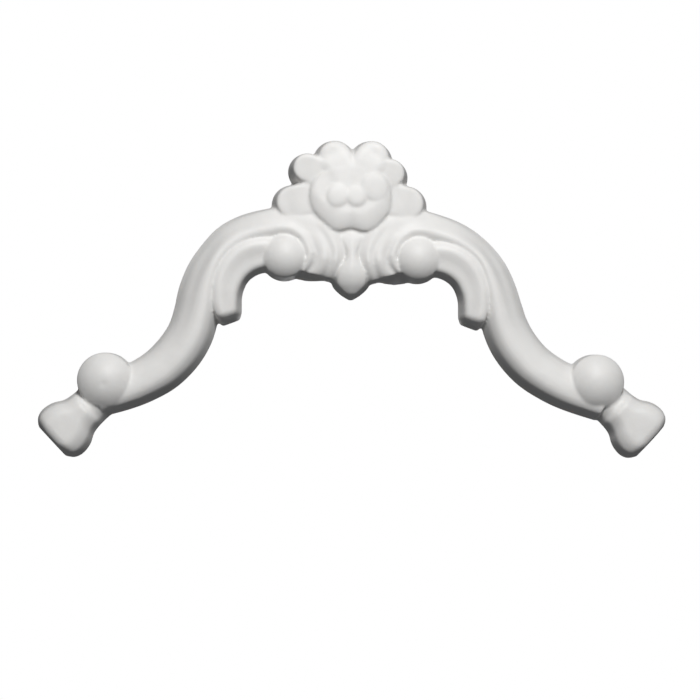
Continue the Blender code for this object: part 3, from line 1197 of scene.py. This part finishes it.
@dataclass
class Casting:
    """The whole casting, fused into one skin and cut flat at the back.

    Attributes:
        halves: the two sides.
        web: the ground between the pearls.
        bud: the bud on the middle line.
        rose: the rose over it.
        voxel: the size of the cells that fuse the forms.
        softening: how many times the skin is smoothed.
        softening_step: how far each time moves a corner, as a share of the way.
    """

    halves: Sequence[ScrollHalf]
    web: GroundWeb
    bud: HangingBud
    rose: Rose = field(default_factory=Rose)
    voxel: float = 0.33
    softening: int = 3
    softening_step: float = 0.5

    def forms(self) -> bpy.types.Mesh:
        """Gathers every form.

        Returns:
            The forms in one mesh, not yet fused.
        """
        forms = bmesh.new()
        for part in (self.web, *self.halves, self.bud, self.rose):
            part.add_to(forms)
        bmesh.ops.scale(forms, verts=forms.verts, vec=(MM, MM, MM))
        bmesh.ops.recalc_face_normals(forms, faces=forms.faces)
        mesh = bpy.data.meshes.new("casting_forms")
        forms.to_mesh(mesh)
        forms.free()
        return mesh

    def fused(self) -> bpy.types.Mesh:
        """Fuses the forms.

        Returns:
            The one skin of them all.
        """
        carrier = bpy.data.objects.new("casting_forms", self.forms())
        bpy.context.scene.collection.objects.link(carrier)
        skin = carrier.modifiers.new("one_skin", "REMESH")
        skin.mode = "VOXEL"
        skin.voxel_size = self.voxel * MM
        graph = bpy.context.evaluated_depsgraph_get()
        mesh = bpy.data.meshes.new_from_object(carrier.evaluated_get(graph))
        bpy.data.objects.remove(carrier)
        return mesh

    def smooth(self, skin: bmesh.types.BMesh) -> None:
        """Smooths the skin, which takes the cells' steps away.

        Args:
            skin: the fused skin.
        """
        for _ in range(self.softening):
            bmesh.ops.smooth_vert(
                skin, verts=skin.verts, factor=self.softening_step,
                use_axis_x=True, use_axis_y=True, use_axis_z=True,
            )

    def cut_back(self, skin: bmesh.types.BMesh) -> None:
        """Cuts the skin off at the back, and closes it there with flat faces.

        Args:
            skin: the fused skin.
        """
        everything = skin.verts[:] + skin.edges[:] + skin.faces[:]
        bmesh.ops.bisect_plane(
            skin, geom=everything, dist=CUT_TOLERANCE,
            plane_co=(0, 0, 0), plane_no=(0, 1, 0), clear_outer=True,
        )
        rim = [edge for edge in skin.edges if edge.is_boundary]
        filled = bmesh.ops.holes_fill(skin, edges=rim, sides=0)
        for face in skin.faces:
            face.smooth = True
        for face in filled["faces"]:
            face.smooth = False
            face.material_index = BACK_SLOT
        for edge in rim:
            edge.smooth = False

    def build(self) -> bpy.types.Object:
        """Builds and dresses the casting.

        Returns:
            The finished object, which stands for the CAD node.
        """
        mesh = self.fused()
        skin = bmesh.new()
        skin.from_mesh(mesh)
        self.smooth(skin)
        self.cut_back(skin)
        skin.to_mesh(mesh)
        skin.free()
        mesh.name = "casting"
        mesh.materials.clear()
        mesh.materials.append(CastResin().material())
        mesh.materials.append(SandedBack().material())
        casting = bpy.data.objects.new("rose_corner_casting", mesh)
        bpy.context.scene.collection.objects.link(casting)
        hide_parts(NODE_NAME)
        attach(casting, "root")
        return casting


@dataclass(frozen=True)
class Lamp:
    """A round soft lamp.

    Attributes:
        name: what the lamp is called.
        place: where it hangs, in millimetres.
        size: its width, in millimetres.
        power: its power, in watts.
        aim: what it points at, in millimetres.
    """

    name: str
    place: Triple
    size: float
    power: float
    aim: Triple = (0.0, 0.0, -25.0)

    def hang(self) -> None:
        """Adds the lamp to the scene."""
        data = bpy.data.lights.new(self.name, "AREA")
        data.shape = "DISK"
        data.size = self.size * MM
        data.energy = self.power
        lamp = bpy.data.objects.new(self.name, data)
        lamp.location = Vector(self.place) * MM
        towards = Vector(self.aim) * MM - lamp.location
        lamp.rotation_euler = towards.to_track_quat("-Z", "Y").to_euler()
        lamp.visible_camera = False
        bpy.context.scene.collection.objects.link(lamp)


@dataclass
class Studio:
    """The camera, the lights, the floor and the white surround.

    Attributes:
        eye: where the camera stands, in millimetres.
        target: what the middle of the picture shows, in millimetres.
        view_width: how much of the casting's plane the picture spans, in millimetres.
        sensor_width: the width of the camera's sensor, in millimetres.
        nearest: the least distance that the camera shows, in millimetres.
        lamps: the soft lamps.
        floor_height: the height of the floor, in millimetres.
        floor_size: the radius of the floor, in millimetres.
        floor_tone: the colour of the floor.
        floor_glow: how much light the floor gives of its own.
        surround_tone: the colour of the light from the surround.
        surround_strength: the strength of that light.
    """

    eye: Triple = (-20.0, -433.0, -78.0)
    target: Triple = (-0.45, 0.0, -40.6)
    view_width: float = 183.3
    sensor_width: float = 36.0
    nearest: float = 10.0
    lamps: Sequence[Lamp] = (
        Lamp("key_lamp", (35.0, -453.0, 242.0), size=150.0, power=2.38),
        Lamp("back_fill", (0.0, 450.0, -30.0), size=120.0, power=1.2),
    )
    floor_height: float = -260.0
    floor_size: float = 500.0
    floor_tone: Triple = (0.85, 0.85, 0.84)
    floor_glow: float = 0.7
    surround_tone: Triple = (0.95, 0.97, 1.0)
    surround_strength: float = 0.09

    def add_camera(self) -> None:
        """Adds the camera at the photograph's viewing angle."""
        data = bpy.data.cameras.new("camera")
        camera = bpy.data.objects.new("camera", data)
        eye, target = Vector(self.eye) * MM, Vector(self.target) * MM
        camera.location = eye
        camera.rotation_euler = (target - eye).to_track_quat("-Z", "Y").to_euler()
        data.sensor_width = self.sensor_width
        data.lens = self.sensor_width * (target - eye).length / (self.view_width * MM)
        data.clip_start = self.nearest * MM
        bpy.context.scene.collection.objects.link(camera)
        bpy.context.scene.camera = camera

    def add_floor(self) -> None:
        """Adds the plain pale floor, well below the casting."""
        plane = bmesh.new()
        bmesh.ops.create_circle(plane, cap_ends=True, segments=96, radius=self.floor_size * MM)
        bmesh.ops.translate(plane, verts=plane.verts, vec=(0, 0, self.floor_height * MM))
        mesh = bpy.data.meshes.new("floor")
        plane.to_mesh(mesh)
        plane.free()
        material, shader = blank_material("pale_floor")
        shader.inputs["Base Color"].default_value = (*self.floor_tone, 1)
        shader.inputs["Roughness"].default_value = 0.9
        shader.inputs["Emission Color"].default_value = (1, 1, 1, 1)
        shader.inputs["Emission Strength"].default_value = self.floor_glow
        mesh.materials.append(material)
        floor = bpy.data.objects.new("floor", mesh)
        floor.visible_diffuse = False
        floor.visible_glossy = False
        bpy.context.scene.collection.objects.link(floor)

    def add_surround(self) -> None:
        """Adds a surround that looks white and lights the casting only a little."""
        world = bpy.data.worlds.new("surround")
        bpy.context.scene.world = world
        world.use_nodes = True
        nodes, links = world.node_tree.nodes, world.node_tree.links
        dim = nodes["Background"]
        dim.inputs["Color"].default_value = (*self.surround_tone, 1)
        dim.inputs["Strength"].default_value = self.surround_strength
        white = nodes.new("ShaderNodeBackground")
        white.inputs["Color"].default_value = (1, 1, 1, 1)
        path = nodes.new("ShaderNodeLightPath")
        choose = nodes.new("ShaderNodeMixShader")
        links.new(path.outputs["Is Camera Ray"], choose.inputs["Fac"])
        links.new(dim.outputs["Background"], choose.inputs[1])
        links.new(white.outputs["Background"], choose.inputs[2])
        links.new(choose.outputs["Shader"], nodes["World Output"].inputs["Surface"])

    def build(self) -> None:
        """Builds the whole studio."""
        self.add_camera()
        for lamp in self.lamps:
            lamp.hang()
        self.add_floor()
        self.add_surround()
        bpy.context.scene.view_settings.view_transform = "Standard"


# The middle lines that follow give (x, z, width) at each station. The arms run from the bud to
# the foot, the web from left to right, and the bud from the rose to its tip.
LEFT_ARM = (
    (-7.6, -22.4, 13.0), (-6.7, -18.2, 12.2), (-6.8, -14.6, 12.0), (-9.6, -9.9, 11.6),
    (-14.0, -7.4, 10.0), (-18.2, -7.2, 8.8), (-22.6, -8.1, 9.2), (-27.6, -9.6, 9.4),
    (-32.0, -12.1, 9.6), (-35.5, -15.7, 9.4), (-38.1, -20.4, 10.5), (-39.6, -25.6, 11.6),
    (-40.6, -31.0, 11.9), (-42.1, -36.3, 12.2), (-45.0, -41.2, 12.4), (-49.2, -45.6, 12.2),
    (-54.1, -48.7, 11.7), (-59.4, -50.9, 11.4), (-65.6, -53.0, 10.6),
)
RIGHT_ARM = (
    (7.2, -22.8, 12.6), (6.2, -18.7, 11.8), (6.3, -15.1, 11.6), (9.0, -10.4, 11.4),
    (13.4, -7.9, 10.0), (17.6, -7.7, 8.8), (22.4, -9.0, 8.8), (26.9, -10.7, 8.8),
    (30.8, -13.0, 8.6), (34.2, -16.1, 8.6), (36.6, -20.2, 9.8), (38.2, -25.1, 10.9),
    (39.3, -30.0, 11.7), (40.6, -34.8, 12.3), (43.1, -39.7, 12.6), (47.3, -44.6, 12.5),
    (52.9, -48.4, 12.2), (58.6, -51.0, 12.0), (66.0, -54.2, 10.4),
)
GROUND_WEB = (
    (-24.0, -11.5, 6.0), (-19.0, -13.3, 13.8), (-12.0, -13.4, 18.3), (-4.0, -13.3, 17.7),
    (4.0, -13.3, 17.8), (12.0, -13.7, 19.5), (18.5, -13.9, 15.1), (23.6, -12.6, 6.0),
)
HANGING_BUD = (
    (-0.2, -7.0, 12.0), (-0.2, -10.0, 10.6), (-0.2, -11.8, 8.6), (-0.2, -13.6, 6.6),
    (-0.2, -16.0, 5.2), (-0.2, -18.0, 6.2), (-0.3, -20.0, 8.6), (-0.3, -22.0, 10.0),
    (-0.3, -24.0, 9.5), (-0.3, -26.0, 5.8), (-0.3, -27.6, 1.0),
)


def main() -> None:
    """Builds the studio and the casting, and logs how many faces the casting has."""
    logging.basicConfig(level=logging.INFO, format="%(name)s: %(message)s")
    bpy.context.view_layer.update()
    Studio().build()
    left = ScrollHalf(
        side=Side.LEFT,
        arm=ScrollArm(LEFT_ARM, Rim.ON_RIGHT),
        inner_pearl=Pearl(-17.7, -16.5),
        outer_pearl=Pearl(
            -63.8, -48.95, radius=7.0, wall=5.2, dome=3.5, pits=((0.1, -1.3, 0.7, 0.2),)
        ),
    )
    right = ScrollHalf(
        side=Side.RIGHT,
        arm=ScrollArm(RIGHT_ARM, Rim.ON_LEFT),
        inner_pearl=Pearl(17.1, -16.9, spread=0.8),
        outer_pearl=Pearl(63.8, -49.0, radius=7.0, wall=5.2, dome=3.5),
        leaf_shift=(-0.8, -1.0),
        foot_shift=(1.0, 0.2),
        foot_swell=1.06,
    )
    web, bud = GroundWeb(GROUND_WEB), HangingBud(HANGING_BUD)
    casting = Casting(halves=(left, right), web=web, bud=bud).build()
    log.info("%s: %d faces when fused", casting.name, len(casting.data.polygons))


if __name__ == "__main__":
    main()
